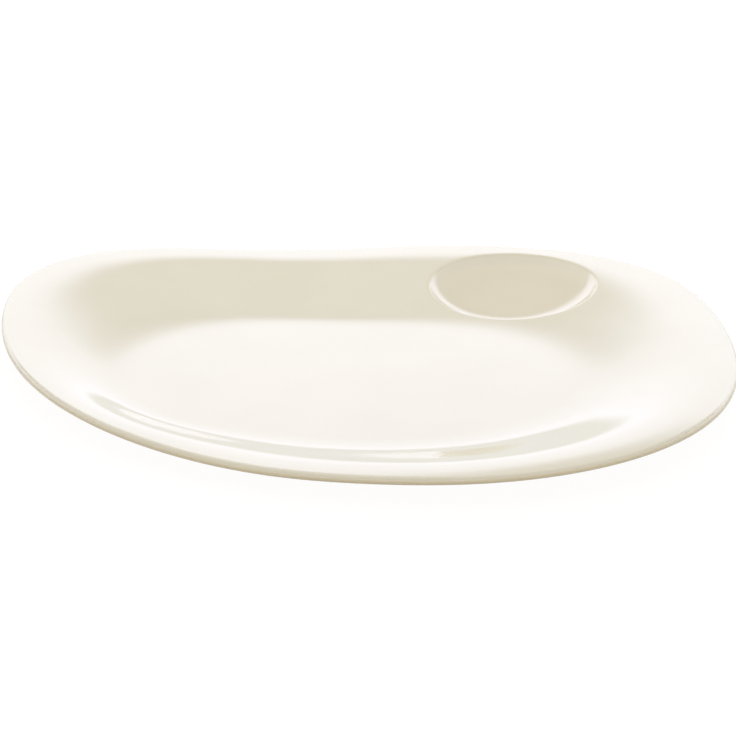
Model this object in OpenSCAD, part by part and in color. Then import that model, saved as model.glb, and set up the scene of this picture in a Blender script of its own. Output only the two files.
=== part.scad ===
/* [Plate] */
// Length over the rim, from left to right
plate_length = 317; // [290:1:350]
// Depth over the rim, from front to back
plate_depth = 280; // [260:1:310]
// Height of the highest part of the rim over the table
plate_height = 17; // [16:0.25:20]
// Thickness of the floor, glaze included
floor_thickness = 4.5; // [4:0.25:5]
// Thickness of the rounded lip, glaze included
lip_thickness = 3.5; // [3:0.25:4.5]
// Width of the lip's roll where the wall is narrowest
roll_width = 10; // [6:1:14]

/* [Dip well] */
// Length of the well's mouth, from left to right
well_length = 76; // [66:1:80]
// Depth of the well's mouth, from front to back
well_depth = 73; // [64:1:75]
// How far the well is sunk into the wall
well_sink = 5; // [3:0.25:6]
// Distance of the well's middle to the right of the plate's middle
well_offset = 68.5; // [60:0.5:75]
// Distance from the well's mouth to the plate's back line
well_gap = 12; // [10:0.5:16]

/* [Foot] */
// Height of the foot ring, from the table to the floor's underside
foot_height = 4; // [3.5:0.25:5]
// Width of the foot ring's bearing face
foot_width = 4; // [3:0.5:6]

/* [Glaze] */
// Thickness of the glaze
glaze_thickness = 0.3; // [0.2:0.05:0.5]

/* [Hidden] */
// The rim's reach from the middle of the floor, in sixteen even
// directions that start at the right and turn towards the back
reach_shares = [
    0.975, 1.04, 1.195, 1.095, 0.975, 0.98, 1.39, 1.15,
    0.965, 0.825, 0.74, 0.71, 0.715, 0.8, 0.89, 0.945
];
// The reach of the level floor, in eight even directions
floor_shares = [0.54, 0.41, 0.35, 0.53, 0.77, 0.44, 0.38, 0.42];
// The rim's rise over the floor, in the same eight directions
crest_shares = [0.78, 0.8, 0.95, 1, 0.87, 0.45, 0.55, 1.08];
// The slope at the rim's edge, as a share of the slope of the wall's
// straight part, in the same eight directions
edge_shares = [-0.5, 0.2, 0, 0, 0.5, -0.05, 0, -0.25];

// The wall curves up over the first of these shares of its width. Its lip
// rolls over within the roll's width and the second share
curve_share = 0.4;
roll_share = 0.3;

// The sides of the well and of its bulge on the underside are steeper the
// higher these powers are, and their edges are rounder the higher the
// softness is
well_power = 9;
bulge_power = 5;
lip_soft_share = 0.08;
bulge_soft_share = 0.2;

floor_top = foot_height + floor_thickness;
crest_rise = plate_height - floor_top;
nose_radius = lip_thickness / 2;
probe_length = nose_radius / 20;
well_centre = [well_offset, plate_depth / 2 - well_gap - well_depth / 2];
well_reach = [well_length, well_depth] / 2;
bulge_reach = [well_length, well_depth] / 2 + [floor_thickness, floor_thickness];

// The foot ring follows the floor's edge
foot_reach_share = 0.86;
foot_draft = foot_height / 3;
foot_chamfer = foot_height / 6;
glaze_line = foot_height / 3;

// Rays of points that run over the plate, closest together at the back,
// where the well and the tightest corner of the rim are
rays = 80;
crowding = 28;
crowd_direction = 90;
mouth_shares = [0.35, 0.6, 0.74, 0.83, 0.9, 0.945, 0.98, 1.005, 1.03];
span_steps = 13;
crowd_share = 0.5;
nose_steps = 3;
apron_steps = 8;
base_shares = [0.75, 0.5, 0.25];
turn_step = 0.1;

// A closed cubic spline of evenly spaced shares, read in one direction
function spline(shares, angle) =
    let (
        count = len(shares),
        place = (angle % 360 + 360) % 360 * count / 360,
        i = floor(place),
        f = place - i
    )
    (shares[(i + count - 1) % count] * pow(1 - f, 3)
        + shares[i % count] * (3 * pow(f, 3) - 6 * pow(f, 2) + 4)
        + shares[(i + 1) % count] * (-3 * pow(f, 3) + 3 * pow(f, 2) + 3 * f + 1)
        + shares[(i + 2) % count] * pow(f, 3)) / 6;

function ray_angle(k) =
    let (turn = k * 360 / rays)
    turn - crowding * sin(turn - crowd_direction);

// The rim before it is stretched to the plate's length and depth
function raw_rim(angle) = spline(reach_shares, angle) * [cos(angle), sin(angle)];

raw_points = [for (k = [0 : rays - 1]) raw_rim(ray_angle(k))];
raw_low = [min([for (p = raw_points) p.x]), min([for (p = raw_points) p.y])];
raw_high = [max([for (p = raw_points) p.x]), max([for (p = raw_points) p.y])];
stretch = [
    plate_length / (raw_high.x - raw_low.x),
    plate_depth / (raw_high.y - raw_low.y)
];
floor_middle = [
    -stretch.x * (raw_high.x + raw_low.x) / 2,
    -stretch.y * (raw_high.y + raw_low.y) / 2
];
crest_high = max([for (k = [0 : rays - 1]) spline(crest_shares, ray_angle(k))]);

function spread(p) = floor_middle + [stretch.x * p.x, stretch.y * p.y];

function rim(angle) = spread(raw_rim(angle));

// The direction straight out of the rim
function rim_normal(angle) =
    let (along = rim(angle + turn_step) - rim(angle - turn_step))
    [along.y, -along.x] / norm(along);

function direction(p) = atan2(
    (p.y - floor_middle.y) / stretch.y,
    (p.x - floor_middle.x) / stretch.x
);

// How far a point is from the floor's edge, at zero, to the rim, at one
function wall_share(p) =
    let (
        angle = direction(p),
        start = spline(floor_shares, angle),
        reach = norm([
            (p.x - floor_middle.x) / stretch.x,
            (p.y - floor_middle.y) / stretch.y
        ])
    )
    (reach - start) / (spline(reach_shares, angle) - start);

// The share of the wall's width at which the roll begins
function roll_start(angle) =
    let (
        wall = spline(reach_shares, angle) - spline(floor_shares, angle),
        wall_width = wall * norm([stretch.x * cos(angle), stretch.y * sin(angle)])
    )
    max(curve_share, 1 - roll_share - roll_width / wall_width);

// The wall's height at a share of its width, for a straight part that
// rises by one for each share of one. It curves up from the floor, runs
// straight to the roll's start, and rolls over to the edge's slope
function wall_curve(share, start, edge) =
    share <= 0 ? 0
    : share < curve_share
        ? share / 2 - curve_share / 360 * sin(180 * share / curve_share)
    : share < start ? share - curve_share / 2
    : let (roll = 1 - start, past = min(share, 1) - start)
        start - curve_share / 2
            + (1 + edge) / 2 * past
            + (1 - edge) / 2 * roll / PI * sin(180 * past / roll);

// The share of the wall's width at which the roll is level, or the rim
// where it never is
function crest_place(start, edge) =
    start + (1 - start) / 180 * acos(max(-1, -(1 + edge) / (1 - edge)));

// The height of the plate's face, as if it had no well
function coupe(p) =
    let (
        angle = direction(p),
        start = roll_start(angle),
        edge = spline(edge_shares, angle)
    )
    floor_top
        + crest_rise * spline(crest_shares, angle) / crest_high
            * wall_curve(wall_share(p), start, edge)
            / wall_curve(crest_place(start, edge), start, edge);

// How deep the well is at a point, from nothing outside to one in the middle
function dip(p, reach, power, soft) =
    let (
        share = norm([
            (p.x - well_centre.x) / reach.x,
            (p.y - well_centre.y) / reach.y
        ]),
        inside = 1 - pow(share, power)
    )
    (inside + sqrt(pow(inside, 2) + pow(soft, 2))) / (1 + sqrt(1 + pow(soft, 2)));

function upper(p) = coupe(p) - well_sink * dip(p, well_reach, well_power, lip_soft_share);

function lower(p) =
    let (share = max(0, min(1, wall_share(p))))
    coupe(p) - between(floor_thickness, lip_thickness, share)
        - well_sink * dip(p, bulge_reach, bulge_power, bulge_soft_share);

function between(a, b, share) = a + (b - a) * share;

function lift(p, z) = [p.x, p.y, z];

// The middle line of the lip's round nose, above the plan
nose_plan = [
    for (k = [0 : rays - 1])
        rim(ray_angle(k)) - nose_radius * rim_normal(ray_angle(k))
];
nose_normals = [for (k = [0 : rays - 1]) rim_normal(ray_angle(k))];
// How far the face leans outward where it meets the nose
nose_leans = [
    for (k = [0 : rays - 1])
        atan(
            (upper(nose_plan[k] - probe_length * nose_normals[k])
                - upper(nose_plan[k])) / probe_length
        )
];
nose_heights = [
    for (k = [0 : rays - 1])
        upper(nose_plan[k]) - nose_radius / cos(nose_leans[k])
];

// The well's mouth where each ray crosses it
mouth_plan = [
    for (k = [0 : rays - 1])
        let (along = nose_plan[k] - well_centre)
        along / norm([along.x / well_reach.x, along.y / well_reach.y])
];

// Rings on the face, from the well's middle to the nose. The skin is how
// far a ring stands off the ceramic
function well_ring(share, skin) = [
    for (k = [0 : rays - 1])
        let (p = well_centre + share * mouth_plan[k])
        lift(p, upper(p) - glaze_thickness + skin)
];

function span_ring(step, skin) =
    let (
        even = step / span_steps,
        share = even - crowd_share * sin(360 * even) / (2 * PI),
        edge_share = mouth_shares[len(mouth_shares) - 1]
    )
    [
        for (k = [0 : rays - 1])
            let (p = between(well_centre + edge_share * mouth_plan[k], nose_plan[k], share))
            lift(p, upper(p) - glaze_thickness + skin)
    ];

// A ring on the nose, at a slope from straight up, through level, to
// straight down
function nose_ring(slope_share, skin) = [
    for (k = [0 : rays - 1])
        let (
            slope = slope_share > 0 ? (90 - nose_leans[k]) * slope_share : 90 * slope_share,
            radius = nose_radius - glaze_thickness + skin
        )
        lift(
            nose_plan[k] + radius * cos(slope) * nose_normals[k],
            nose_heights[k] + radius * sin(slope)
        )
];

// A point of the foot ring's plan, and its height on the underside
function foot_plan(k, inset) =
    let (
        angle = direction(nose_plan[k]),
        edge = foot_reach_share * spline(floor_shares, angle)
            * [stretch.x * cos(angle), stretch.y * sin(angle)]
    )
    floor_middle + edge * (1 - inset / norm(edge));

function foot_ring(inset, height) = [
    for (k = [0 : rays - 1]) lift(foot_plan(k, inset), height)
];

function root_ring(inset, skin) = [
    for (k = [0 : rays - 1])
        let (p = foot_plan(k, inset))
        lift(p, lower(p) + glaze_thickness - skin)
];

function apron_ring(share, skin) = [
    for (k = [0 : rays - 1])
        let (p = between(nose_plan[k], foot_plan(k, -foot_draft), share))
        lift(p, lower(p) + glaze_thickness - skin)
];

function base_ring(share, skin) = [
    for (k = [0 : rays - 1])
        let (p = between(floor_middle, foot_plan(k, foot_width + foot_draft), share))
        lift(p, lower(p) + glaze_thickness - skin)
];

// Everything that the coat covers, from the well to the foot's outer side
function coat_rings(skin) = concat(
    [for (share = mouth_shares) well_ring(share, skin)],
    [for (step = [1 : span_steps - 1]) span_ring(step, skin)],
    [for (step = [nose_steps : -1 : -nose_steps]) nose_ring(step / nose_steps, skin)],
    [for (step = [1 : apron_steps - 1]) apron_ring(step / apron_steps, skin)],
    [root_ring(-foot_draft - skin, skin)],
    [foot_ring(-glaze_line / foot_height * foot_draft, glaze_line)]
);

// The foot's bearing face, which is left bare
foot_rings = [
    foot_ring(foot_chamfer, 0),
    foot_ring(foot_width - foot_chamfer, 0)
];

// Everything inside the foot ring, from its inner side to the middle
function base_rings(skin) = concat(
    [foot_ring(foot_width + glaze_line / foot_height * foot_draft, glaze_line)],
    [root_ring(foot_width + foot_draft + skin, skin)],
    [for (share = base_shares) base_ring(share, skin)]
);

function well_middle(skin) = lift(well_centre, upper(well_centre) - glaze_thickness + skin);

function base_middle(skin) = lift(floor_middle, lower(floor_middle) + glaze_thickness - skin);

function reversed(rings) = [for (i = [len(rings) - 1 : -1 : 0]) rings[i]];

function tail(rings) = [for (i = [1 : len(rings) - 1]) rings[i]];

// The two triangles between two rings at one ray. From the ring numbered
// turn on they are split along their other diagonal, so that a glaze has
// the same triangles as the ceramic that it lies on
function split(i, k, turn) =
    let (
        next = (k + 1) % rays,
        a = 1 + i * rays + k,
        b = 1 + i * rays + next,
        c = 1 + (i + 1) * rays + next,
        d = 1 + (i + 1) * rays + k
    )
    i < turn ? [[a, b, c], [a, c, d]] : [[a, b, d], [b, c, d]];

// A closed surface from one point, over rings, to another point
module closed_surface(first, rings, last, turn) {
    count = len(rings);
    end = 1 + count * rays;
    points = concat([first], [for (ring = rings) each ring], [last]);
    first_faces = [for (k = [0 : rays - 1]) [0, 1 + (k + 1) % rays, 1 + k]];
    bands = [
        for (i = [0 : count - 2], k = [0 : rays - 1]) each split(i, k, turn)
    ];
    last_faces = [
        for (k = [0 : rays - 1]) [end, end - rays + k, end - rays + (k + 1) % rays]
    ];
    polyhedron(points = points, faces = concat(first_faces, bands, last_faces));
}

module ceramic_body() {
    rings = concat(coat_rings(0), foot_rings, base_rings(0));
    color([0.9, 0.87, 0.79])
        closed_surface(well_middle(0), rings, base_middle(0), len(rings));
}

module glaze_coat() {
    outer = coat_rings(glaze_thickness);
    inner = coat_rings(0);
    under = tail(reversed(inner));
    color([0.96, 0.94, 0.86])
        closed_surface(
            well_middle(glaze_thickness),
            concat(outer, under),
            well_middle(0),
            len(outer) - 1
        );
}

module base_glaze() {
    inner = base_rings(0);
    outer = base_rings(glaze_thickness);
    color([0.95, 0.93, 0.85])
        closed_surface(
            base_middle(0),
            concat(reversed(inner), tail(outer)),
            base_middle(glaze_thickness),
            0
        );
}

ceramic_body();
glaze_coat();
base_glaze();
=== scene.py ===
"""A free-form coupe plate with a dip well, its glaze and its studio."""

import math

import bpy
import numpy as np
from bpy.props import FloatProperty, FloatVectorProperty, IntProperty, PointerProperty
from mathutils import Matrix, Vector


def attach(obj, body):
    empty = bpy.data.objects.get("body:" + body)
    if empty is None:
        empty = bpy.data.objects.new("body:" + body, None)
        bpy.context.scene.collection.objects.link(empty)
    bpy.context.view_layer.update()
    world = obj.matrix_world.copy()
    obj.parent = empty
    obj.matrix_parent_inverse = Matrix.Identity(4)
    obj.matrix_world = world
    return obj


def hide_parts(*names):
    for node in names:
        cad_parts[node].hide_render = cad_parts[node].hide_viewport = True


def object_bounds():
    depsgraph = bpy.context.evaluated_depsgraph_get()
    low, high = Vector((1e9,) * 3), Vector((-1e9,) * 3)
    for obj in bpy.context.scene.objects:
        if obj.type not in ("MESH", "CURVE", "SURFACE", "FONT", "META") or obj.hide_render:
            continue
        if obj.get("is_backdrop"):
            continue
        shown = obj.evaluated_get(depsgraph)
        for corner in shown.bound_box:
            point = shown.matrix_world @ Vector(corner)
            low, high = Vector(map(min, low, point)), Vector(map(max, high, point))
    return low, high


bl_info = {
    "name": "Coupe plate with a dip well",
    "version": (1, 0, 0),
    "blender": (4, 5, 0),
    "location": "View3D > Sidebar > Plate",
    "description": "Builds a free-form glazed plate with a dip well and lights it",
    "category": "Object",
}

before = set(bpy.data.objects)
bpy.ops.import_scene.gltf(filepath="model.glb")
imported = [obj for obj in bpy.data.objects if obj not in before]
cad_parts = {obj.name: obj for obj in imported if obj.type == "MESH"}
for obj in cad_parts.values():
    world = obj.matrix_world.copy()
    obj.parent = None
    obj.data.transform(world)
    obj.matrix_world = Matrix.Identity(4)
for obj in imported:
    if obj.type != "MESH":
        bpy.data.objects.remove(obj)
CAD_LOW, CAD_HIGH = (list(corner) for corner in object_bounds())
CAD_SIZE = [high - low for low, high in zip(CAD_LOW, CAD_HIGH)]
TURN = 2 * math.pi
WHITE = (1, 1, 1, 1)
# Width of the camera's sensor, in millimetres
SENSOR_WIDTH = 36
# Edges that turn by more than this stay sharp
SHARP_TURN = math.radians(50)


class PlateSizes(bpy.types.PropertyGroup):
    """Sizes of the plate"""

    length: FloatProperty(
        name="Length",
        description="Length over the rim, from left to right",
        default=CAD_SIZE[0],
        unit="LENGTH",
    )
    depth: FloatProperty(
        name="Depth",
        description="Depth over the rim, from front to back",
        default=CAD_SIZE[1],
        unit="LENGTH",
    )
    height: FloatProperty(
        name="Height",
        description="Height of the highest part of the rim over the table",
        default=CAD_SIZE[2],
        unit="LENGTH",
    )
    floor_thickness: FloatProperty(
        name="Floor thickness",
        description="Thickness of the floor, glaze included",
        default=0.0045,
        unit="LENGTH",
    )
    lip_thickness: FloatProperty(
        name="Lip thickness",
        description="Thickness of the rounded lip, glaze included",
        default=0.0035,
        unit="LENGTH",
    )
    roll_width: FloatProperty(
        name="Roll width",
        description="Width of the lip's roll where the wall is narrowest",
        default=0.01,
        unit="LENGTH",
    )
    glaze: FloatProperty(
        name="Glaze",
        description="Thickness of the glaze",
        default=0.0003,
        unit="LENGTH",
    )
    rim_reach: FloatVectorProperty(
        name="Rim reach",
        description="Reach of the rim from the floor's middle, in sixteen even directions",
        size=16,
        default=(
            0.975, 1.04, 1.195, 1.095, 0.975, 0.98, 1.39, 1.15,
            0.965, 0.825, 0.74, 0.71, 0.715, 0.8, 0.89, 0.945,
        ),
    )
    crest: FloatVectorProperty(
        name="Crest",
        description="Rise of the rim over the floor, in eight even directions",
        size=8,
        default=(0.78, 0.8, 0.95, 1, 0.87, 0.45, 0.55, 1.08),
    )
    edge: FloatVectorProperty(
        name="Edge slope",
        description="Slope at the rim's edge, against the wall's, in eight directions",
        size=8,
        default=(-0.5, 0.2, 0, 0, 0.5, -0.05, 0, -0.25),
    )
    floor_reach: FloatVectorProperty(
        name="Floor reach",
        description="Reach of the level floor from its middle, in eight even directions",
        size=8,
        default=(0.54, 0.41, 0.35, 0.53, 0.77, 0.44, 0.38, 0.42),
    )


class WellSizes(bpy.types.PropertyGroup):
    """Sizes of the dip well"""

    length: FloatProperty(
        name="Length",
        description="Length of the well's mouth, from left to right",
        default=0.076,
        unit="LENGTH",
    )
    depth: FloatProperty(
        name="Depth",
        description="Depth of the well's mouth, from front to back",
        default=0.073,
        unit="LENGTH",
    )
    sink: FloatProperty(
        name="Sink",
        description="How far the well is sunk into the wall",
        default=0.005,
        unit="LENGTH",
    )
    offset: FloatProperty(
        name="Offset",
        description="Distance of the well's middle to the right of the plate's middle",
        default=0.0685,
        unit="LENGTH",
    )
    gap: FloatProperty(
        name="Gap",
        description="Distance from the well's mouth to the plate's back line",
        default=0.012,
        unit="LENGTH",
    )


class FootSizes(bpy.types.PropertyGroup):
    """Sizes of the foot ring"""

    height: FloatProperty(
        name="Height",
        description="Height of the foot ring, from the table to the floor's underside",
        default=0.004,
        unit="LENGTH",
    )
    width: FloatProperty(
        name="Width",
        description="Width of the foot ring's bearing face",
        default=0.004,
        unit="LENGTH",
    )
    fillet: FloatProperty(
        name="Fillet",
        description="Width of the hollow where the foot ring meets the underside",
        default=0.003,
        unit="LENGTH",
    )


class GlazeLook(bpy.types.PropertyGroup):
    """Colours and finish of the glaze and of the bare ceramic"""

    cream: FloatVectorProperty(
        name="Cream",
        description="Colour of the glaze where it is thick",
        size=3,
        subtype="COLOR",
        min=0,
        max=1,
        default=(0.86, 0.79, 0.57),
    )
    # Partly painted shade: this darker colour also shades the lip's lower half and the well's
    # mouth
    thin_and_shade: FloatVectorProperty(
        name="Thin glaze",
        description="Colour of the glaze where it runs thin round the lip",
        size=3,
        subtype="COLOR",
        min=0,
        max=1,
        default=(0.76, 0.665, 0.4),
    )
    # Partly painted shade: besides the ripples' random drift, this darker colour lies over the
    # whole well, where shade falls
    pooled_and_shade: FloatVectorProperty(
        name="Pooled glaze",
        description="Colour of the glaze where it gathers",
        size=3,
        subtype="COLOR",
        min=0,
        max=1,
        default=(0.83, 0.745, 0.515),
    )
    bare: FloatVectorProperty(
        name="Bare ceramic",
        description="Colour of the fired ceramic on the foot ring",
        size=3,
        subtype="COLOR",
        min=0,
        max=1,
        default=(0.72, 0.66, 0.55),
    )
    gloss_roughness: FloatProperty(
        name="Gloss roughness",
        description="Roughness of the glaze",
        default=0.04,
        min=0,
        max=1,
    )
    bare_roughness: FloatProperty(
        name="Bare roughness",
        description="Roughness of the bare ceramic",
        default=0.75,
        min=0,
        max=1,
    )
    face_ripples: FloatProperty(
        name="Face ripples",
        description="Ripples to a metre in the glaze over the face, the lip and the outside",
        default=28,
    )
    base_ripples: FloatProperty(
        name="Base ripples",
        description="Ripples to a metre in the glaze inside the foot ring",
        default=40,
    )
    ripple: FloatProperty(
        name="Ripple",
        description="Height of the slow ripples in the fired glaze",
        default=0.000002,
        precision=6,
        unit="LENGTH",
    )
    grain: FloatProperty(
        name="Grain",
        description="Height of the grain in the bare ceramic",
        default=0.0001,
        precision=4,
        unit="LENGTH",
    )


class StudioLook(bpy.types.PropertyGroup):
    """Camera and lights"""

    elevation: FloatProperty(
        name="Elevation",
        description="Angle of the camera over the table",
        default=math.radians(20.5),
        subtype="ANGLE",
    )
    distance: FloatProperty(
        name="Distance",
        description="Distance of the camera from its target",
        default=1.1845,
        unit="LENGTH",
    )
    target: FloatVectorProperty(
        name="Target",
        description="Point that the camera looks at",
        size=3,
        subtype="TRANSLATION",
        unit="LENGTH",
        default=(0.0025, -0.0013, 0.0073),
    )
    lens: FloatProperty(
        name="Lens",
        description="Focal length of the camera",
        default=136.4,
        unit="CAMERA",
    )
    window_power: FloatProperty(
        name="Window power",
        description="Power of the large soft window behind the plate, in watts",
        default=13.2,
        unit="POWER",
    )
    window_elevation: FloatProperty(
        name="Window elevation",
        description="Angle of the soft window over the table",
        default=math.radians(48),
        subtype="ANGLE",
    )
    fill_power: FloatProperty(
        name="Fill power",
        description="Power of the soft fill over the camera, in watts",
        default=6.6,
        unit="POWER",
    )
    fill_elevation: FloatProperty(
        name="Fill elevation",
        description="Angle of the soft fill, from the back of the table over the top",
        default=math.radians(115),
        subtype="ANGLE",
    )
    softbox_distance: FloatProperty(
        name="Softbox distance",
        description="Distance of the window and the fill from the plate",
        default=1.6,
        unit="LENGTH",
    )
    softbox_width: FloatProperty(
        name="Softbox width",
        description="Width of the window and of the fill, which are half as high",
        default=1.6,
        unit="LENGTH",
    )
    table_size: FloatProperty(
        name="Table size",
        description="Length and depth of the table top",
        default=6,
        unit="LENGTH",
    )
    floor_color: FloatVectorProperty(
        name="Floor colour",
        description="Colour of the table top in the light that it throws back",
        size=3,
        subtype="COLOR",
        min=0,
        max=1,
        default=(0.55, 0.47, 0.36),
    )
    white_share: FloatProperty(
        name="White share",
        description="Share of plain white in the table top as the camera sees it",
        default=0.8,
        min=0,
        max=1,
    )
    white_light: FloatProperty(
        name="White light",
        description="Brightness of that white",
        default=1.19,
    )
    wall_color: FloatVectorProperty(
        name="Wall colour",
        description="Colour of the light from the studio's pale walls",
        size=3,
        subtype="COLOR",
        min=0,
        max=1,
        default=(0.76, 0.79, 1),
    )
    wall_light: FloatProperty(
        name="Wall light",
        description="Brightness of the studio's pale walls",
        default=2.08,
    )
    wall_foot_color: FloatVectorProperty(
        name="Wall foot colour",
        description="Colour of the light from the walls' foot, where they meet the table",
        size=3,
        subtype="COLOR",
        min=0,
        max=1,
        default=(0.84, 0.89, 1),
    )
    wall_foot_light: FloatProperty(
        name="Wall foot light",
        description="Brightness of the walls' foot",
        default=0.98,
    )
    wall_foot: FloatProperty(
        name="Wall foot",
        description="Angle over the table at which the walls begin to brighten",
        default=math.radians(5.5),
        subtype="ANGLE",
    )
    wall_glow: FloatProperty(
        name="Wall glow",
        description="Angle over the table at which the walls reach their full brightness",
        default=math.radians(9),
        subtype="ANGLE",
    )
    ceiling_light: FloatProperty(
        name="Ceiling light",
        description="Brightness of the studio's ceiling",
        default=0.3,
    )
    wall_top: FloatProperty(
        name="Wall top",
        description="Angle over the table at which the walls end",
        default=math.radians(24.6),
        subtype="ANGLE",
    )
    wall_fade: FloatProperty(
        name="Wall fade",
        description="Half width of the fade from the walls to the ceiling, as a share of height",
        default=0.052,
    )


class PlateSettings(bpy.types.PropertyGroup):
    """Everything that a user would change"""

    plate: PointerProperty(name="Plate", description="Sizes of the plate", type=PlateSizes)
    well: PointerProperty(name="Well", description="Sizes of the dip well", type=WellSizes)
    foot: PointerProperty(name="Foot", description="Sizes of the foot ring", type=FootSizes)
    glaze: PointerProperty(name="Glaze", description="Colours and finish", type=GlazeLook)
    studio: PointerProperty(name="Studio", description="Camera and lights", type=StudioLook)
    rays: IntProperty(
        name="Rays",
        description="Number of points round every ring of the surfaces",
        default=256,
        min=80,
    )


def spline(shares, angle):
    """A closed cubic spline of evenly spaced shares, read at an angle.

    At a part f of the way from share i to the next, the four shares around
    it weigh (1 - f)^3, 3f^3 - 6f^2 + 4, -3f^3 + 3f^2 + 3f + 1 and f^3, over 6.
    """
    shares = np.asarray(shares)
    count = len(shares)
    place = np.mod(angle, TURN) * count / TURN
    i = np.floor(place).astype(int)
    f = place - i
    return (
        shares[(i - 1) % count] * (1 - f) ** 3
        + shares[i % count] * (3 * f**3 - 6 * f**2 + 4)
        + shares[(i + 1) % count] * (-3 * f**3 + 3 * f**2 + 3 * f + 1)
        + shares[(i + 2) % count] * f**3
    ) / 6


def between(a, b, share):
    """The point at a share of the way from a to b."""
    return a + (b - a) * share


def lift(plan, height):
    """Points in plan, with their heights added as a third coordinate."""
    height = np.broadcast_to(height, plan.shape[:-1])
    return np.concatenate([plan, height[..., None]], axis=-1)


class PlateShape:
    """The plate's faces, as functions of a direction and of a place in plan."""

    # The wall curves up over the first share of its width, and its lip
    # rolls over within the roll's width and the second share
    curve_share = 0.4
    roll_share = 0.3
    # The sides of the well and of its bulge on the underside are steeper the
    # higher these powers are, and their edges rounder the higher the softness
    well_power = 9
    bulge_power = 5
    lip_soft_share = 0.08
    bulge_soft_share = 0.2
    # The foot ring lies under the floor, at this share of its reach
    foot_reach_share = 0.86
    # Its sides draw in, its glaze ends and its foot is rounded within these
    # shares of its height
    draft_share = 1 / 3
    glaze_line_share = 1 / 3
    chamfer_share = 1 / 6
    # The glaze runs thin within the first share of the mouth's radius, and
    # by the second share of how thin it runs round the nose; its darker
    # colour there and round the nose is partly painted shade
    mouth_edge_share = 0.03
    mouth_thin_and_shade_share = 0.3
    # How fast the glaze thickens again, and the painted shade fades, away
    # from the nose's surface
    nose_fall = 4
    # The rays crowd together towards the well, by up to this angle
    crowding = math.radians(28)
    # The face's lean at the nose is measured over this distance
    probe = 0.0001

    def __init__(self, settings):
        """Reads the sizes, then places the well, the rays, the rim and the nose."""
        plate, well, foot = settings.plate, settings.well, settings.foot
        self.glaze = plate.glaze
        self.reach_shares = list(plate.rim_reach)
        self.crest_shares = list(plate.crest)
        self.edge_shares = list(plate.edge)
        self.floor_shares = list(plate.floor_reach)
        self.roll_width = plate.roll_width
        self.floor_thickness = plate.floor_thickness
        self.lip_thickness = plate.lip_thickness
        self.floor_top = foot.height + plate.floor_thickness
        self.nose_radius = plate.lip_thickness / 2
        self.foot_width = foot.width
        self.foot_fillet = foot.fillet
        self.foot_draft = foot.height * self.draft_share
        self.glaze_line = foot.height * self.glaze_line_share
        self.foot_chamfer = foot.height * self.chamfer_share
        self.well_sink = well.sink
        self.well_reach = np.array([well.length, well.depth]) / 2
        self.bulge_reach = self.well_reach + plate.floor_thickness
        well_y = plate.depth / 2 - well.gap - well.depth / 2
        self.well_centre = np.array([well.offset, well_y])

        well_direction = math.atan2(self.well_centre[1], self.well_centre[0])
        turn = np.arange(settings.rays) * TURN / settings.rays
        self.angles = turn - self.crowding * np.sin(turn - well_direction)
        raw = self.raw_rim(self.angles)
        low, high = raw.min(axis=0), raw.max(axis=0)
        self.stretch = np.array([plate.length, plate.depth]) / (high - low)
        self.floor_middle = -self.stretch * (high + low) / 2
        crest_high = spline(self.crest_shares, self.angles).max()
        self.crest_rise = (plate.height - self.floor_top) / crest_high
        self.place_nose()

    def raw_rim(self, angle):
        """The rim before it is stretched: the reach's spline, in polar form."""
        reach = spline(self.reach_shares, angle)
        return reach[..., None] * np.stack([np.cos(angle), np.sin(angle)], axis=-1)

    def rim(self, angle):
        """The rim in plan: its raw curve, stretched about the floor's middle."""
        return self.floor_middle + self.stretch * self.raw_rim(angle)

    def rim_normal(self, angle):
        """The direction straight out of the rim: its tangent, turned by 90 degrees."""
        step = math.radians(0.1)
        along = self.rim(angle + step) - self.rim(angle - step)
        out = np.stack([along[..., 1], -along[..., 0]], axis=-1)
        return out / np.linalg.norm(out, axis=-1, keepdims=True)

    def floor_edge(self, angle):
        """The reach of the level floor, before it is stretched."""
        return spline(self.floor_shares, angle)

    def polar(self, plan):
        """Direction and reach from the floor's middle, before the stretch."""
        raw = (plan - self.floor_middle) / self.stretch
        return np.arctan2(raw[..., 1], raw[..., 0]), np.linalg.norm(raw, axis=-1)

    def wall_share(self, plan):
        """How far a point is from the floor's edge, at 0, to the rim, at 1."""
        angle, reach = self.polar(plan)
        start = self.floor_edge(angle)
        return (reach - start) / (spline(self.reach_shares, angle) - start)

    def roll_start(self, angle):
        """The share of the wall's width at which the roll begins."""
        wall = spline(self.reach_shares, angle) - self.floor_edge(angle)
        stretched = np.hypot(self.stretch[0] * np.cos(angle), self.stretch[1] * np.sin(angle))
        start = 1 - self.roll_share - self.roll_width / (wall * stretched)
        return np.maximum(self.curve_share, start)

    def wall_curve(self, share, start, edge):
        """The wall's height at a share s of its width.

        Up to the curve's end c it is s/2 - c/(2 pi) sin(pi s/c), then s - c/2
        up to the roll's start b, and past it, with p = s - b and r = 1 - b,
        b - c/2 + (1 + e)/2 p + (1 - e)/2 r/pi sin(pi p/r) for an edge slope e.
        """
        c = self.curve_share
        share = np.clip(share, 0, 1)
        curved = np.minimum(share, c)
        rising = curved / 2 - c / TURN * np.sin(math.pi * curved / c)
        straight = np.clip(share, c, start) - c
        roll = 1 - start
        past = np.maximum(share - start, 0)
        rolled = (1 + edge) / 2 * past + (1 - edge) / 2 * roll / math.pi * np.sin(
            math.pi * past / roll
        )
        return rising + straight + rolled

    def crest_place(self, start, edge):
        """The share of the wall's width where the roll is level, or 1 where it never is."""
        turn = np.arccos(np.maximum(-1, -(1 + edge) / (1 - edge)))
        return start + (1 - start) / math.pi * turn

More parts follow.
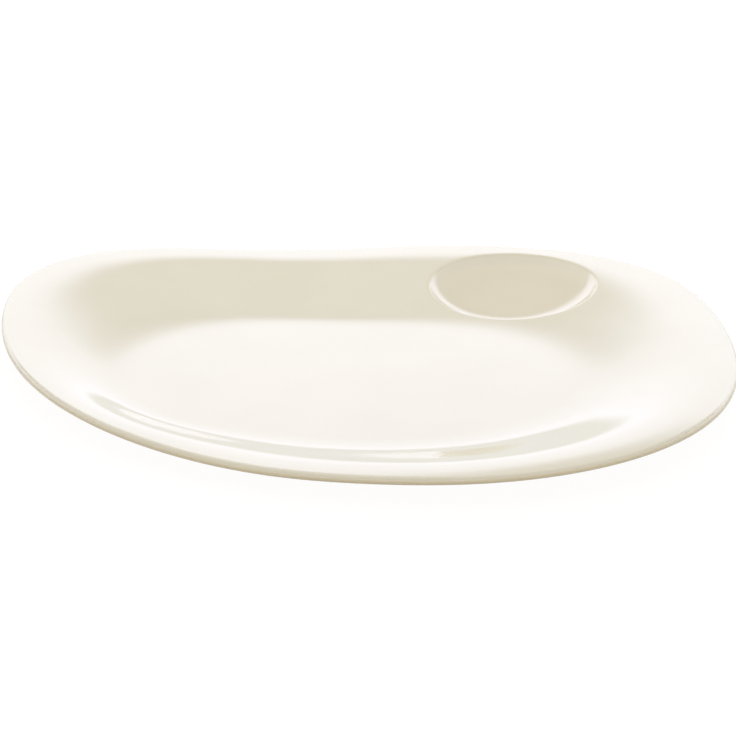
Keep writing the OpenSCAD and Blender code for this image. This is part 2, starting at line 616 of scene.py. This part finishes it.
    def coupe(self, plan):
        """The height of the face as if it had no well.

        It is the floor's height plus the crest's rise in that direction, times
        the wall's curve over its value at the crest.
        """
        angle, _ = self.polar(plan)
        start = self.roll_start(angle)
        edge = spline(self.edge_shares, angle)
        rise = self.crest_rise * spline(self.crest_shares, angle)
        crest = self.wall_curve(self.crest_place(start, edge), start, edge)
        return self.floor_top + rise * self.wall_curve(self.wall_share(plan), start, edge) / crest

    def dip(self, plan, reach, power, soft):
        """How deep the well is, from 0 outside to 1 in the middle.

        With d = 1 - q^n at q mouth radii, it is d + sqrt(d^2 + soft^2), over
        its value in the middle.
        """
        share = np.linalg.norm((plan - self.well_centre) / reach, axis=-1)
        inside = 1 - share**power
        return (inside + np.hypot(inside, soft)) / (1 + math.hypot(1, soft))

    def upper(self, plan):
        """The height of the face: the coupe, less the well's sink times its dip."""
        return self.coupe(plan) - self.well_sink * self.dip(
            plan, self.well_reach, self.well_power, self.lip_soft_share
        )

    def lower(self, plan):
        """The height of the underside, which the well bulges out."""
        share = np.clip(self.wall_share(plan), 0, 1)
        thickness = between(self.floor_thickness, self.lip_thickness, share)
        bulge = self.dip(plan, self.bulge_reach, self.bulge_power, self.bulge_soft_share)
        return self.coupe(plan) - thickness - self.well_sink * bulge

    def place_nose(self):
        """The middle line of the lip's round nose, and how far the face leans there."""
        self.normals = self.rim_normal(self.angles)
        self.nose_plan = self.rim(self.angles) - self.nose_radius * self.normals
        crest = self.upper(self.nose_plan)
        inward = self.upper(self.nose_plan - self.probe * self.normals)
        self.leans = np.arctan((inward - crest) / self.probe)
        self.nose_heights = crest - self.nose_radius / np.cos(self.leans)
        along = self.nose_plan - self.well_centre
        shares = np.linalg.norm(along / self.well_reach, axis=-1, keepdims=True)
        self.mouth_plan = along / shares

    def foot_plan(self, inset):
        """The foot ring's outer line, moved towards the floor's middle by an inset."""
        angle, _ = self.polar(self.nose_plan)
        reach = self.foot_reach_share * self.floor_edge(angle)
        round_floor = np.stack([np.cos(angle), np.sin(angle)], axis=-1)
        edge = reach[:, None] * self.stretch * round_floor
        far = np.linalg.norm(edge, axis=-1, keepdims=True)
        return self.floor_middle + edge * (1 - inset / far)

    def face_rings(self, plans, skin):
        """Rings on the face, over rings in plan, that stand off the ceramic by a skin."""
        return lift(plans, self.upper(plans) - self.glaze + skin)

    def under_rings(self, plans, skin):
        """Rings on the underside, over rings in plan, off the ceramic by a skin."""
        return lift(plans, self.lower(plans) + self.glaze - skin)

    def well_rings(self, skin, steps=36, crowd=3.5):
        """From near the well's middle to its mouth, closest together at the mouth.

        A ring at a step s lies at 1 - sinh(crowd s) / sinh(crowd) of the mouth.
        """
        step = np.linspace(1, 0, steps + 1)[1:-1]
        share = 1 - np.sinh(crowd * step) / math.sinh(crowd)
        return self.face_rings(self.well_centre + share[:, None, None] * self.mouth_plan, skin)

    def span_rings(self, skin, steps=80, crowd=0.9):
        """From the well's mouth to the nose, closest together at both ends.

        A ring at a step s lies at s - crowd sin(2 pi s) / (2 pi) of the way.
        """
        step = np.linspace(0, 1, steps + 1)[:-1]
        share = (step - crowd * np.sin(TURN * step) / TURN)[:, None, None]
        mouth = self.well_centre + self.mouth_plan
        return self.face_rings(between(mouth, self.nose_plan, share), skin)

    def nose_rings(self, skin, steps=8):
        """The nose's round, from the face's lean through level to straight down."""
        share = np.linspace(1, -1, 2 * steps + 1)[:, None]
        slope = np.where(share > 0, (TURN / 4 - self.leans) * share, TURN / 4 * share)
        radius = self.nose_radius - self.glaze + skin
        plan = self.nose_plan + radius * np.cos(slope)[..., None] * self.normals
        return lift(plan, self.nose_heights + radius * np.sin(slope))

    def apron_rings(self, skin, steps=30):
        """The underside, from the nose to the hollow at the foot ring."""
        step = np.linspace(0, 1, steps + 1)[1:, None, None]
        end = self.foot_plan(-self.foot_draft - self.foot_fillet)
        return self.under_rings(between(self.nose_plan, end, step), skin)

    def hollow_rings(self, inset, way, skin, steps=6):
        """The hollow between the underside and a side of the foot ring.

        It is the curve (1 - t)^2 A + 2 t (1 - t) B + t^2 C from A on the
        underside, by the corner B, to C on the ring's side at the glaze line.
        """
        root = inset + way * (self.foot_draft + skin)
        start = self.under_rings(self.foot_plan(root + way * self.foot_fillet), skin)
        corner = self.under_rings(self.foot_plan(root), skin)
        side = self.foot_plan(inset + way * self.glaze_line_share * self.foot_draft)
        end = lift(side, self.glaze_line)
        t = np.linspace(0, 1, steps + 1)[1:, None, None]
        return (1 - t) ** 2 * start + 2 * t * (1 - t) * corner + t**2 * end

    def bearing_rings(self, steps=5):
        """The bare foot: a rounded edge, the bearing face and a rounded edge."""
        line = self.glaze_line_share * self.foot_draft
        turn = np.linspace(0, TURN / 4, steps + 1)[1:]
        inset = self.foot_chamfer - (self.foot_chamfer + line) * np.cos(turn)
        height = self.glaze_line * (1 - np.sin(turn))
        outer = [lift(self.foot_plan(i), z) for i, z in zip(inset, height)]
        inner = [lift(self.foot_plan(self.foot_width - i), z) for i, z in zip(inset, height)]
        return np.array(outer + inner[::-1])

    def coat_rings(self, skin):
        """Everything that the coat covers, from the well to the foot's outer side."""
        return np.concatenate(
            [
                self.well_rings(skin),
                self.span_rings(skin),
                self.nose_rings(skin),
                self.apron_rings(skin),
                self.hollow_rings(0, -1, skin),
            ]
        )

    def base_rings(self, skin, steps=8):
        """Everything inside the foot ring, from its inner side to the middle."""
        hollow = self.hollow_rings(self.foot_width, 1, skin)
        inset = self.foot_width + self.foot_draft + self.foot_fillet
        step = np.linspace(1, 0, steps + 1)[:-1, None, None]
        plans = between(self.floor_middle, self.foot_plan(inset), step)
        return np.concatenate([hollow[::-1], self.under_rings(plans, skin)])

    def well_middle(self, skin):
        """The point on the face over the well's middle."""
        return self.face_rings(self.well_centre, skin)

    def base_middle(self, skin):
        """The point on the underside below the floor's middle."""
        return self.under_rings(self.floor_middle, skin)


def closed_mesh(name, first, rings, last):
    """A closed surface, from a first point over rings of points to a last point.

    Points a and b on one ring and d and c beside them on the next make the
    face a, d, c, b, and fans of triangles close the two ends.
    """
    count, rays = rings.shape[:2]
    points = np.concatenate([[first], rings.reshape(-1, 3), [last]])
    index = 1 + np.arange(count * rays).reshape(count, rays)
    beside = np.roll(index, -1, axis=1)
    bands = np.stack([index[:-1], index[1:], beside[1:], beside[:-1]], axis=-1)
    first_fan = np.stack([np.zeros_like(index[0]), index[0], beside[0]], axis=-1)
    end = np.full_like(index[0], len(points) - 1)
    last_fan = np.stack([end, beside[-1], index[-1]], axis=-1)
    faces = bands.reshape(-1, 4).tolist() + first_fan.tolist() + last_fan.tolist()
    mesh = bpy.data.meshes.new(name)
    mesh.from_pydata(points.tolist(), [], faces)
    mesh.shade_smooth()
    mesh.set_sharp_from_angle(angle=SHARP_TURN)
    return mesh


def add_object(name, mesh, material):
    """An object with a mesh and its material, unturned at the scene's origin."""
    piece = bpy.data.objects.new(name, mesh)
    bpy.context.scene.collection.objects.link(piece)
    mesh.materials.append(material)
    return piece


def save_thinness_and_shade(mesh, face_rings, rings, shape):
    """Stores the glaze's thinning, from -1 where it pools in the well to 1 round the nose, with
    painted shade.

    With d nose radii from the nose's middle line and h of them above it, it
    is 1 - h, from 0 to 1, times exp(-fall (1 - d)^2) round the nose. With q
    mouth radii from the well's middle and m = exp(-((q - 1) / edge)^2), it is
    the mouth's share of m over the mouth's edge, less 1 - m of the dip. The
    values also lay painted shade: the darker edge colour over the nose's
    lower half and the well's mouth, and the gathered colour over the well.
    """
    plan = rings[..., :2]
    on_face = (np.arange(len(rings)) < face_rings)[:, None]
    high = (rings[..., 2] - shape.nose_heights) / shape.nose_radius
    aside = np.linalg.norm(plan - shape.nose_plan, axis=-1) / shape.nose_radius
    off_nose = 1 - np.hypot(aside, high)
    # Painted shade: the darker edge colour's weight is full over the nose's lower half, where
    # shade falls
    nose = np.clip(1 - high, 0, 1) * np.exp(-shape.nose_fall * off_nose**2)
    share = np.linalg.norm((plan - shape.well_centre) / shape.well_reach, axis=-1)
    mouth = np.exp(-(((share - 1) / shape.mouth_edge_share) ** 2)) * on_face
    # Painted shade: the dip lays the darker gathered colour over the whole well
    pool_and_shade = shape.dip(plan, shape.well_reach, shape.well_power, shape.lip_soft_share) * on_face
    thin_and_shade = np.maximum(nose, shape.mouth_thin_and_shade_share * mouth) - pool_and_shade * (1 - mouth)
    middle = -1 if face_rings else 0
    values = np.concatenate([[middle], thin_and_shade.ravel(), [middle]])
    layer = mesh.attributes.new("thinness_and_shade", "FLOAT", "POINT")
    layer.data.foreach_set("value", values.astype(np.float32))


def add_node(tree, kind, place, **values):
    """A node of a kind at a place in the tree, with its properties set."""
    node = tree.nodes.new(kind)
    node.location = place
    for name, value in values.items():
        setattr(node, name, value)
    return node


def new_group(name, inputs, outputs):
    """A shader node group with named sockets, and its input and output nodes."""
    tree = bpy.data.node_groups.new(name, "ShaderNodeTree")
    for label, kind, default in inputs:
        socket = tree.interface.new_socket(label, in_out="INPUT", socket_type=kind)
        if default is not None:
            socket.default_value = default
    for label, kind in outputs:
        tree.interface.new_socket(label, in_out="OUTPUT", socket_type=kind)
    enter = add_node(tree, "NodeGroupInput", (-900, 0))
    leave = add_node(tree, "NodeGroupOutput", (900, 0))
    return tree, enter, leave


def add_math(tree, place, operation, *terms):
    """A node for one sum, whose terms are numbers or outputs to be linked."""
    node = add_node(tree, "ShaderNodeMath", place, operation=operation)
    for socket, term in zip(node.inputs, terms):
        if isinstance(term, bpy.types.NodeSocket):
            tree.links.new(term, socket)
        else:
            socket.default_value = term
    return node.outputs["Value"]


def add_range(tree, place, value, source, target, kind="LINEAR"):
    """A node that takes a value from its source range to its target range."""
    node = add_node(tree, "ShaderNodeMapRange", place, interpolation_type=kind)
    names = ("From Min", "From Max", "To Min", "To Max")
    for name, limit in zip(names, (*source, *target)):
        node.inputs[name].default_value = limit
    tree.links.new(value, node.inputs["Value"])
    return node.outputs["Result"]


def add_mix(tree, place, kind, share, a, b):
    """A node that mixes a and b, each a value or an output, by a linked share."""
    node = add_node(tree, "ShaderNodeMix", place, data_type=kind)
    tree.links.new(share, node.inputs["Factor"])
    for name, term in (("A", a), ("B", b)):
        if isinstance(term, bpy.types.NodeSocket):
            tree.links.new(term, node.inputs[name])
        else:
            node.inputs[name].default_value = term
    return node.outputs["Result"]


def add_noise(tree, place, coordinates, scale, detail):
    """A noise texture, whose scale is an output to be linked."""
    node = add_node(tree, "ShaderNodeTexNoise", place)
    node.inputs["Detail"].default_value = detail
    tree.links.new(coordinates, node.inputs["Vector"])
    tree.links.new(scale, node.inputs["Scale"])
    return node.outputs["Fac"]


def add_group(tree, place, group, values, links):
    """A node group in the tree, with its values set and its inputs linked."""
    node = add_node(tree, "ShaderNodeGroup", place)
    node.node_tree = group
    for name, value in values.items():
        node.inputs[name].default_value = value
    for name, output in links.items():
        tree.links.new(output, node.inputs[name])
    return node


def grain_group():
    """Fine mineral grain: soft mottling and small dark specks."""
    # Values of the noise between which it mottles, and between which a speck sets in
    mottle_range = (0.3, 0.7)
    speck_range = (0.62, 0.74)
    tree, enter, leave = new_group(
        "Mineral grain",
        [
            ("Place", "NodeSocketVector", None),
            ("Color", "NodeSocketColor", WHITE),
            ("Mottle Scale", "NodeSocketFloat", 30),
            ("Mottle", "NodeSocketFloat", 0.05),
            ("Speck Scale", "NodeSocketFloat", 900),
            ("Speck", "NodeSocketFloat", 0.1),
        ],
        [("Color", "NodeSocketColor"), ("Height", "NodeSocketFloat")],
    )
    given = enter.outputs
    mottle = add_noise(tree, (-650, 200), given["Place"], given["Mottle Scale"], detail=4)
    speck = add_noise(tree, (-650, -200), given["Place"], given["Speck Scale"], detail=2)
    sway = add_range(tree, (-400, 200), mottle, mottle_range, (1, -1))
    dots = add_range(tree, (-400, -200), speck, speck_range, (0, 1), "SMOOTHSTEP")
    bright = add_math(tree, (-150, 200), "MULTIPLY_ADD", sway, given["Mottle"], 1)
    dark = add_math(tree, (-150, -200), "MULTIPLY", dots, given["Speck"])
    tint = add_node(tree, "ShaderNodeHueSaturation", (350, 0))
    link = tree.links.new
    link(given["Color"], tint.inputs["Color"])
    link(add_math(tree, (100, 0), "SUBTRACT", bright, dark), tint.inputs["Value"])
    link(tint.outputs["Color"], leave.inputs["Color"])
    link(speck, leave.inputs["Height"])
    return tree


def glaze_group(grain):
    """A fired glaze: thinner over edges, gathered in the well, with slow ripples.

    Its darker colours over the edges and in the well are partly painted shade.
    """
    # Values of the noise between which the ripples pool the colour, up to a share
    ripple_range = (0.35, 0.7)
    pooled_share = 0.1
    # How much rougher the glaze is on the ripples' crests
    dulling = 0.02
    tree, enter, leave = new_group(
        "Fired glaze",
        [
            ("Place", "NodeSocketVector", None),
            ("Thinness And Shade", "NodeSocketFloat", 0),
            ("Color", "NodeSocketColor", WHITE),
            ("Thin And Shade Color", "NodeSocketColor", WHITE),
            ("Pooled And Shade Color", "NodeSocketColor", WHITE),
            ("Ripple Scale", "NodeSocketFloat", 28),
            ("Roughness", "NodeSocketFloat", 0.05),
        ],
        [
            ("Color", "NodeSocketColor"),
            ("Roughness", "NodeSocketFloat"),
            ("Height", "NodeSocketFloat"),
        ],
    )
    given = enter.outputs
    ripple = add_noise(tree, (-650, 150), given["Place"], given["Ripple Scale"], detail=1)
    drift = add_range(tree, (-400, 150), ripple, ripple_range, (0, pooled_share), "SMOOTHSTEP")
    # Painted shade in the well's recess, from the mesh's -1
    well = add_range(tree, (-400, 450), given["Thinness And Shade"], (0, -1), (0, 1))
    deep = add_math(tree, (-250, 300), "MAXIMUM", drift, well)
    body = add_mix(tree, (-150, 150), "RGBA", deep, given["Color"], given["Pooled And Shade Color"])
    # The darker colour round the lip and the well's mouth is partly painted shade
    edge = add_mix(tree, (100, 150), "RGBA", given["Thinness And Shade"], body, given["Thin And Shade Color"])
    specks = add_group(
        tree,
        (350, 150),
        grain,
        {"Mottle": 0.012, "Speck": 0.02},
        {"Place": given["Place"], "Color": edge},
    )
    dulled = add_math(tree, (100, -200), "MULTIPLY_ADD", ripple, dulling, given["Roughness"])
    tree.links.new(specks.outputs["Color"], leave.inputs["Color"])
    tree.links.new(dulled, leave.inputs["Roughness"])
    tree.links.new(ripple, leave.inputs["Height"])
    return tree


def node_group(name, build, *needs):
    """The group of that name, built the first time that it is asked for."""
    return bpy.data.node_groups.get(name) or build(*needs)


def new_material(name):
    """A material whose tree holds its shader, and the Object coordinates."""
    material = bpy.data.materials.new(name)
    material.use_nodes = True
    tree = material.node_tree
    shader = tree.nodes["Principled BSDF"]
    place = add_node(tree, "ShaderNodeTexCoord", (-900, 0))
    return material, tree, shader, place.outputs["Object"]


def add_bump(tree, shader, height, distance):
    """A bump of a given height, which feeds the shader's normal."""
    bump = add_node(tree, "ShaderNodeBump", (-300, -300))
    bump.inputs["Strength"].default_value = 1
    bump.inputs["Distance"].default_value = distance
    tree.links.new(height, bump.inputs["Height"])
    tree.links.new(bump.outputs["Normal"], shader.inputs["Normal"])


def glaze_material(name, look, ripple_scale):
    """Glossy cream glaze, with its thinner edges and its painted shade taken from the mesh."""
    grain = node_group("Mineral grain", grain_group)
    group = node_group("Fired glaze", glaze_group, grain)
    material, tree, shader, place = new_material(name)
    thin_and_shade = add_node(tree, "ShaderNodeAttribute", (-900, -250), attribute_name="thinness_and_shade")
    values = {
        "Color": (*look.cream, 1),
        "Thin And Shade Color": (*look.thin_and_shade, 1),
        "Pooled And Shade Color": (*look.pooled_and_shade, 1),
        "Ripple Scale": ripple_scale,
        "Roughness": look.gloss_roughness,
    }
    links = {"Place": place, "Thinness And Shade": thin_and_shade.outputs["Fac"]}
    glaze = add_group(tree, (-600, 0), group, values, links)
    tree.links.new(glaze.outputs["Color"], shader.inputs["Base Color"])
    tree.links.new(glaze.outputs["Roughness"], shader.inputs["Roughness"])
    add_bump(tree, shader, glaze.outputs["Height"], look.ripple)
    return material


def bare_material(look):
    """Unglazed fired ceramic: fine grained, matt and slightly rough."""
    grain = node_group("Mineral grain", grain_group)
    material, tree, shader, place = new_material("bare fired ceramic")
    shader.inputs["Roughness"].default_value = look.bare_roughness
    values = {
        "Color": (*look.bare, 1),
        "Mottle Scale": 60,
        "Mottle": 0.08,
        "Speck Scale": 1500,
        "Speck": 0.35,
    }
    group = add_group(tree, (-600, 0), grain, values, {"Place": place})
    tree.links.new(group.outputs["Color"], shader.inputs["Base Color"])
    add_bump(tree, shader, group.outputs["Height"], look.grain)
    return material


class PLATE_OT_ceramic_body(bpy.types.Operator):
    """Builds the fired ceramic that the glaze lies on, with its bare foot"""

    bl_idname = "plate.ceramic_body"
    bl_label = "Ceramic body"

    def execute(self, context):
        settings = context.scene.coupe_plate
        shape = PlateShape(settings)
        coat, bearing, base = shape.coat_rings(0), shape.bearing_rings(), shape.base_rings(0)
        rings = np.concatenate([coat, bearing, base])
        mesh = closed_mesh("fired body", shape.well_middle(0), rings, shape.base_middle(0))
        piece = add_object("fired_body", mesh, bare_material(settings.glaze))
        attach(piece, "root")
        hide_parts("ceramic_body")
        return {"FINISHED"}


class PLATE_OT_glaze_coat(bpy.types.Operator):
    """Builds the glaze over the face, the lip and the underside"""

    bl_idname = "plate.glaze_coat"
    bl_label = "Glaze coat"

    def execute(self, context):
        settings = context.scene.coupe_plate
        shape = PlateShape(settings)
        outer = shape.coat_rings(shape.glaze)
        inner = shape.coat_rings(0)[:-1]
        rings = np.concatenate([outer, inner[::-1]])
        mesh = closed_mesh(
            "face glaze", shape.well_middle(shape.glaze), rings, shape.well_middle(0)
        )
        save_thinness_and_shade(mesh, len(outer), rings, shape)
        look = settings.glaze
        glaze = glaze_material("face glaze", look, ripple_scale=look.face_ripples)
        piece = add_object("face_glaze", mesh, glaze)
        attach(piece, "root")
        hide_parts("glaze_coat")
        return {"FINISHED"}


class PLATE_OT_base_glaze(bpy.types.Operator):
    """Builds the glaze inside the foot ring"""

    bl_idname = "plate.base_glaze"
    bl_label = "Base glaze"

    def execute(self, context):
        settings = context.scene.coupe_plate
        shape = PlateShape(settings)
        outer = shape.base_rings(shape.glaze)
        inner = shape.base_rings(0)[1:]
        rings = np.concatenate([inner[::-1], outer])
        mesh = closed_mesh(
            "base glaze", shape.base_middle(0), rings, shape.base_middle(shape.glaze)
        )
        save_thinness_and_shade(mesh, 0, rings, shape)
        look = settings.glaze
        glaze = glaze_material("base glaze", look, ripple_scale=look.base_ripples)
        # The CAD solid has the name base_glaze, so this piece has another
        piece = add_object("foot_glaze", mesh, glaze)
        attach(piece, "root")
        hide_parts("base_glaze")
        return {"FINISHED"}


def aim(thing, place, target):
    """Puts a lamp or camera at a place and turns it to look at a target."""
    place, target = Vector(place), Vector(target)
    thing.location = place
    thing.rotation_euler = (target - place).to_track_quat("-Z", "Y").to_euler()


def floor_material(studio):
    """A matt table top, most of which the camera and the reflections see as white.

    The rest of it keeps the plate's soft shadow.
    """
    material = bpy.data.materials.new("pale floor")
    material.use_nodes = True
    tree = material.node_tree
    shader = tree.nodes["Principled BSDF"]
    shader.inputs["Base Color"].default_value = (*studio.floor_color, 1)
    shader.inputs["Roughness"].default_value = 1
    path = add_node(tree, "ShaderNodeLightPath", (-900, 200)).outputs
    seen = add_math(tree, (-700, 200), "MAXIMUM", path["Is Camera Ray"], path["Is Glossy Ray"])
    share = add_math(tree, (-500, 200), "MULTIPLY", seen, studio.white_share)
    white = add_node(tree, "ShaderNodeEmission", (-300, -200))
    white.inputs["Strength"].default_value = studio.white_light
    mix = add_node(tree, "ShaderNodeMixShader", (0, 0))
    link = tree.links.new
    link(share, mix.inputs["Fac"])
    link(shader.outputs["BSDF"], mix.inputs[1])
    link(white.outputs["Emission"], mix.inputs[2])
    link(mix.outputs["Shader"], tree.nodes["Material Output"].inputs["Surface"])
    return material


def studio_world(studio):
    """Pale walls round the table up to an angle, and a dimmer ceiling over them.

    The camera sees plain white. Everything else sees the walls, which grow
    from the foot's colour and brightness to their own in a smooth step of the
    direction's height, and give way to the ceiling's brightness in another.
    """
    world = bpy.data.worlds.new("studio")
    world.use_nodes = True
    tree = world.node_tree
    sky = add_node(tree, "ShaderNodeTexCoord", (-900, 0))
    parts = add_node(tree, "ShaderNodeSeparateXYZ", (-700, 0))
    tree.links.new(sky.outputs["Generated"], parts.inputs["Vector"])
    height = parts.outputs["Z"]
    glow = (math.sin(studio.wall_foot), math.sin(studio.wall_glow))
    lit = add_range(tree, (-750, -250), height, glow, (0, 1), "SMOOTHSTEP")
    walls = add_mix(tree, (-500, 0), "FLOAT", lit, studio.wall_foot_light, studio.wall_light)
    colors = ((*studio.wall_foot_color, 1), (*studio.wall_color, 1))
    tint = add_mix(tree, (-500, 550), "RGBA", lit, *colors)
    top = math.sin(studio.wall_top)
    fade = (top - studio.wall_fade, top + studio.wall_fade)
    over = add_range(tree, (-500, -300), height, fade, (0, 1), "SMOOTHSTEP")
    light = add_mix(tree, (-250, -100), "FLOAT", over, walls, studio.ceiling_light)
    seen = add_node(tree, "ShaderNodeLightPath", (-500, 300)).outputs["Is Camera Ray"]
    strength = add_mix(tree, (-50, 0), "FLOAT", seen, light, 1)
    color = add_mix(tree, (-50, 300), "RGBA", seen, tint, WHITE)
    background = tree.nodes["Background"]
    tree.links.new(strength, background.inputs["Strength"])
    tree.links.new(color, background.inputs["Color"])
    return world


def add_softbox(name, power, rise, studio):
    """A large soft lamp over the table, at an angle that rises from the back."""
    light = bpy.data.lights.new(name, "AREA")
    light.shape = "RECTANGLE"
    light.size = studio.softbox_width
    light.size_y = studio.softbox_width / 2
    light.energy = power
    lamp = bpy.data.objects.new(name, light)
    lamp.visible_glossy = False
    place = Vector((0, math.cos(rise), math.sin(rise))) * studio.softbox_distance
    aim(lamp, place, (0, 0, 0))
    bpy.context.scene.collection.objects.link(lamp)


class PLATE_OT_studio(bpy.types.Operator):
    """Sets the pale floor, the soft light and the camera"""

    bl_idname = "plate.studio"
    bl_label = "Studio"

    def execute(self, context):
        studio = context.scene.coupe_plate.studio
        half = studio.table_size / 2
        corners = [(-half, -half, 0), (half, -half, 0), (half, half, 0), (-half, half, 0)]
        mesh = bpy.data.meshes.new("table top")
        mesh.from_pydata(corners, [], [(0, 1, 2, 3)])
        add_object("table_top", mesh, floor_material(studio))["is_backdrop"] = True
        context.scene.world = studio_world(studio)

        add_softbox("window", studio.window_power, studio.window_elevation, studio)
        add_softbox("fill", studio.fill_power, studio.fill_elevation, studio)

        camera = bpy.data.cameras.new("camera")
        camera.lens = studio.lens
        camera.sensor_width = SENSOR_WIDTH
        eye = bpy.data.objects.new("camera", camera)
        rise = studio.elevation
        away = Vector((0, -math.cos(rise), math.sin(rise))) * studio.distance
        aim(eye, Vector(studio.target) + away, studio.target)
        context.scene.collection.objects.link(eye)
        context.scene.camera = eye
        context.scene.view_settings.view_transform = "Standard"
        return {"FINISHED"}


class PLATE_PT_panel(bpy.types.Panel):
    """The plate's sizes, colours and steps"""

    bl_idname = "PLATE_PT_panel"
    bl_label = "Coupe plate"
    bl_space_type = "VIEW_3D"
    bl_region_type = "UI"
    bl_category = "Plate"

    def draw(self, context):
        settings = context.scene.coupe_plate
        self.layout.prop(settings, "rays")
        for name in GROUPS:
            box = self.layout.box()
            box.label(text=name.capitalize())
            group = getattr(settings, name)
            for label in group.__annotations__:
                box.prop(group, label)
        for step in STEPS:
            self.layout.operator(step.bl_idname)


GROUPS = ("plate", "well", "foot", "glaze", "studio")
STEPS = (PLATE_OT_ceramic_body, PLATE_OT_glaze_coat, PLATE_OT_base_glaze, PLATE_OT_studio)
CLASSES = (
    PlateSizes, WellSizes, FootSizes, GlazeLook, StudioLook, PlateSettings, *STEPS,
    PLATE_PT_panel,
)


def register():
    """Adds the classes, and the settings to every scene."""
    for kind in CLASSES:
        bpy.utils.register_class(kind)
    bpy.types.Scene.coupe_plate = PointerProperty(
        name="Coupe plate",
        description="Sizes, colours and studio of the coupe plate",
        type=PlateSettings,
    )


def unregister():
    """Takes the settings and the classes away again."""
    del bpy.types.Scene.coupe_plate
    for kind in reversed(CLASSES):
        bpy.utils.unregister_class(kind)


def main():
    """Builds the plate and its studio."""
    register()
    bpy.ops.plate.ceramic_body()
    bpy.ops.plate.glaze_coat()
    bpy.ops.plate.base_glaze()
    bpy.ops.plate.studio()


if __name__ == "__main__":
    main()
